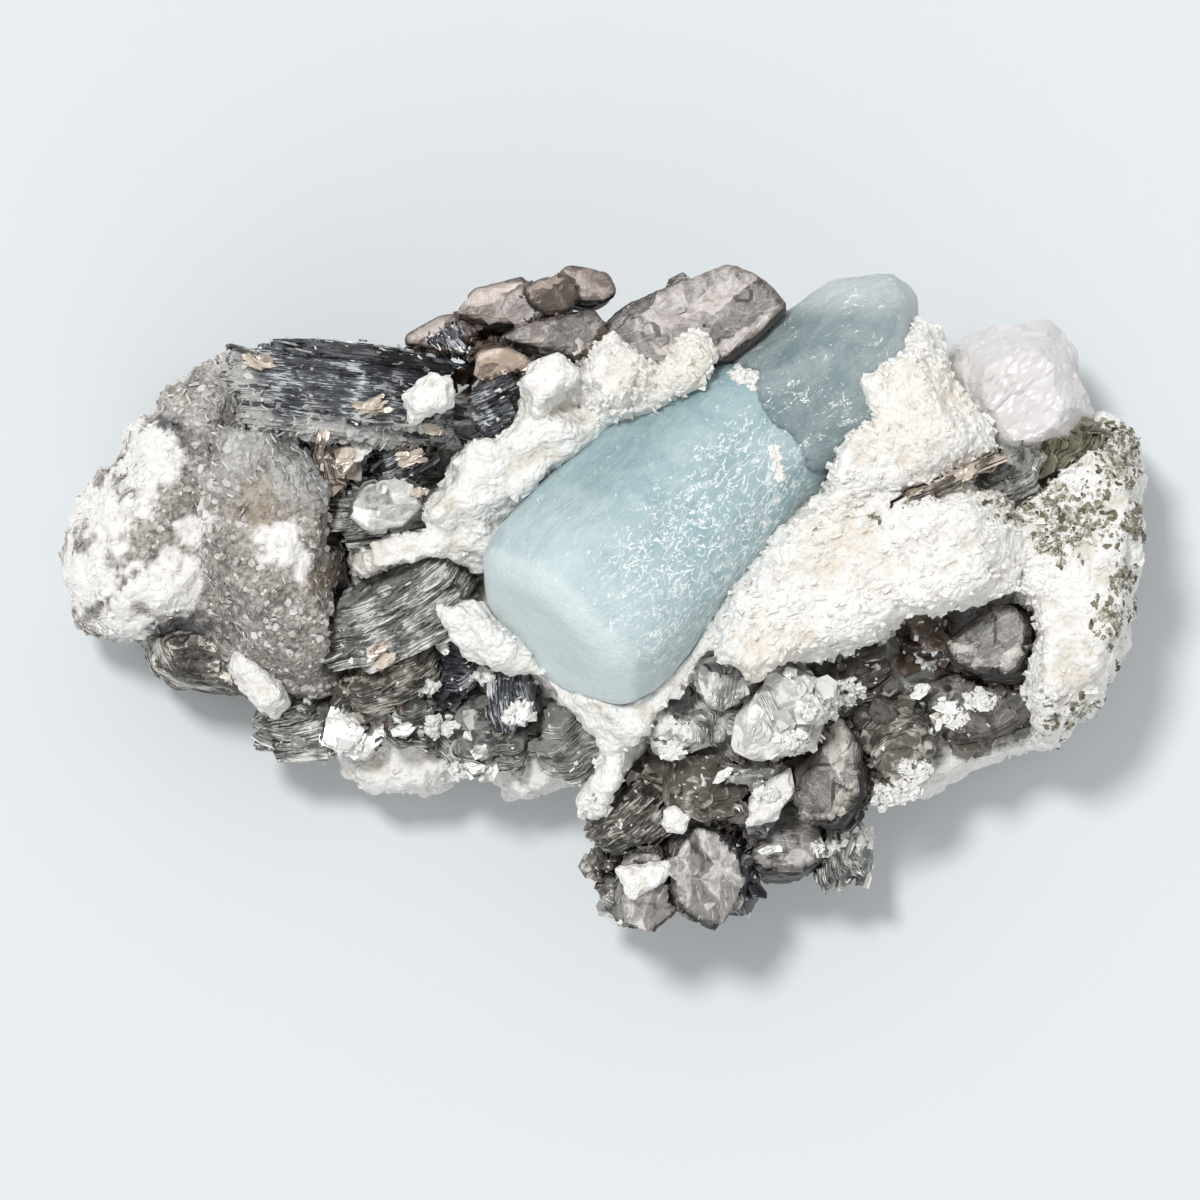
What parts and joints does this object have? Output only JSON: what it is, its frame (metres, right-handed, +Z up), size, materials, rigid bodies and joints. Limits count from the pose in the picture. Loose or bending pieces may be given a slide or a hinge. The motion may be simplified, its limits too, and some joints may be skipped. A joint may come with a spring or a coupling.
{
  "type": "aquamarine crystal specimen",
  "caption": "Loose mineral specimen: pale blue hexagonal aquamarine prisms in white albite matrix with dark muscovite mica books, on a flat broken base.",
  "frame": {"origin": "on the flat broken foot of the matrix, below the middle of the specimen", "axes": "+Z up, away from the surface the specimen rests on; X along the specimen, -X towards the fine mica mass; Y across it, -Y towards the rosette of mica books"},
  "size_m": [0.1508, 0.0928, 0.0587],
  "materials": {
    "aquamarine": "pale milky blue, worn natural crystal faces",
    "aquamarine_rear": "clearer grey blue, striated natural crystal faces",
    "albite": "white sugary and bladed feldspar",
    "fine_mica": "grey brown fine mica scales with white feldspar",
    "dark_mica": "dark edges of stacked mica sheets with silver glints",
    "silver_mica": "silvery cleavage faces of mica",
    "grey_mica": "grey brown translucent mica sheets",
    "smoky_mica": "smoky brown translucent mica tablets",
    "olive_mica": "olive brown mica books",
    "quartz": "translucent pinkish white quartz"
  },
  "bodies": {
    "root": {"albite_chip_large": "albite", "albite_chip_upper": "albite", "albite_crystal_notch": "albite", "albite_crystal_on_book": "albite", "albite_flake": "albite", "albite_matrix": "albite", "albite_vein": "albite", "aquamarine_crystal": "aquamarine", "aquamarine_crystal_rear": "aquamarine_rear", "clear_crystal": "quartz", "dark_mica_knob": "dark_mica", "fine_mica_mass": "fine_mica", "lower_book_foot": "dark_mica", "lower_book_hollow": "dark_mica", "lower_book_left": "dark_mica", "lower_book_mottled": "grey_mica", "lower_book_tilted": "grey_mica", "lower_plate_clear": "smoky_mica", "lower_plate_rim": "grey_mica", "lower_plates_brown": "smoky_mica", "mica_seam": "olive_mica", "muscovite_book_chevron": "dark_mica", "muscovite_book_corner": "dark_mica", "muscovite_book_inner_left": "dark_mica", "muscovite_book_large": "dark_mica", "muscovite_book_low_left": "dark_mica", "muscovite_book_low_middle": "dark_mica", "muscovite_book_low_right": "dark_mica", "muscovite_book_middle": "silver_mica", "muscovite_book_row": "silver_mica", "muscovite_book_under_middle": "dark_mica", "muscovite_book_upper": "dark_mica", "muscovite_book_upright": "dark_mica", "muscovite_disc_bright": "silver_mica", "muscovite_plate_tan": "silver_mica", "muscovite_shell_book": "silver_mica", "quartz_crystal": "quartz", "right_book_olive": "olive_mica", "right_book_seam": "dark_mica", "right_book_spray": "dark_mica", "rosette_book_dark": "dark_mica", "rosette_book_dark_right": "dark_mica", "rosette_book_edge": "dark_mica", "rosette_book_foot": "dark_mica", "rosette_book_left": "dark_mica", "rosette_book_right": "dark_mica", "rosette_crest_foot": "dark_mica", "rosette_crest_large": "silver_mica", "rosette_crest_left": "silver_mica", "rosette_crest_small": "silver_mica", "rosette_plates_left": "grey_mica", "rosette_plates_right": "grey_mica", "smoky_crystal_dark": "smoky_mica", "smoky_crystal_left": "smoky_mica", "smoky_crystal_long": "smoky_mica", "smoky_crystal_low_left": "smoky_mica", "smoky_crystal_peak": "smoky_mica", "smoky_crystal_row": "smoky_mica", "smoky_tablet": "smoky_mica", "tan_sheet_block": "silver_mica"}
  },
  "joints": []
}
